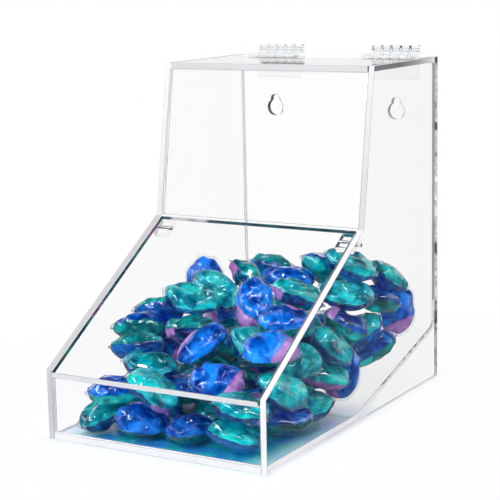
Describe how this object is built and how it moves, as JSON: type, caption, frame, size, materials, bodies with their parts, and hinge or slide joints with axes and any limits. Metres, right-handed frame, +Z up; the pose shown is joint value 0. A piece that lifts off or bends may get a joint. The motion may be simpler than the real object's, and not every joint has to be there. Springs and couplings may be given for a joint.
{
  "type": "laundry pod container",
  "caption": "Clear acrylic laundry pod bin with a hinged lid, a lift-up sloping front door and keyholes in its back, half filled with two-colour pods.",
  "frame": {"origin": "on the surface that the bin stands on, midway between the side panels, under the middle of the flat floor", "axes": "+X to the bin's right as seen from the front, +Y from the front lip to the back panel, +Z up"},
  "size_m": [0.2, 0.319, 0.295],
  "materials": {
    "acrylic": "clear cast acrylic, polished",
    "hinge_acrylic": "clear moulded acrylic",
    "steel": "plain",
    "pod_blue": "glossy film over blue gel",
    "pod_teal": "glossy film over teal gel"
  },
  "bodies": {
    "bin": {"left_side_panel": "acrylic", "right_side_panel": "acrylic", "floor_ramp_back_sheet": "acrylic", "front_lip_panel": "acrylic", "upper_front_panel": "acrylic", "back_leaf_left": "hinge_acrylic", "back_leaf_right": "hinge_acrylic", "hinge_pin_left": "hinge_acrylic", "hinge_pin_right": "hinge_acrylic", "pod_01": "pod_blue", "pod_02": "pod_blue", "pod_03": "pod_teal", "pod_04": "pod_teal", "pod_05": "pod_blue", "pod_06": "pod_teal", "pod_07": "pod_blue", "pod_08": "pod_teal", "pod_09": "pod_blue", "pod_10": "pod_blue", "pod_11": "pod_teal", "pod_12": "pod_blue", "pod_13": "pod_teal", "pod_14": "pod_teal", "pod_15": "pod_teal", "pod_16": "pod_teal", "pod_17": "pod_blue", "pod_18": "pod_teal", "pod_19": "pod_blue", "pod_20": "pod_teal", "pod_21": "pod_teal", "pod_22": "pod_blue", "pod_23": "pod_teal", "pod_24": "pod_blue", "pod_25": "pod_teal", "pod_26": "pod_blue", "pod_27": "pod_blue", "pod_28": "pod_blue", "pod_29": "pod_blue", "pod_30": "pod_teal", "pod_31": "pod_blue", "pod_32": "pod_teal", "pod_33": "pod_teal", "pod_34": "pod_teal", "pod_35": "pod_blue", "pod_36": "pod_teal", "pod_37": "pod_blue", "pod_38": "pod_teal", "pod_39": "pod_blue", "pod_40": "pod_teal", "buried_pods_lower": "pod_blue", "buried_pods_upper": "pod_teal"},
    "lid": {"lid_panel": "acrylic", "lid_leaf_left": "hinge_acrylic", "lid_leaf_right": "hinge_acrylic"},
    "door": {"door_panel": "acrylic", "pivot_block_left": "acrylic", "pivot_block_right": "acrylic", "pivot_pin_left": "steel", "pivot_pin_right": "steel"}
  },
  "joints": [
    {"name": "lid_hinge", "type": "hinge", "parent": "bin", "child": "lid", "pos_m": [0, 0.2382, 0.2912], "axis": [-1, 0, 0], "range_deg": [0, 180]},
    {"name": "door_hinge", "type": "hinge", "parent": "bin", "child": "door", "pos_m": [0, 0.08186, 0.14499], "axis": [-1, 0, 0], "range_deg": [0, 105]}
  ]
}
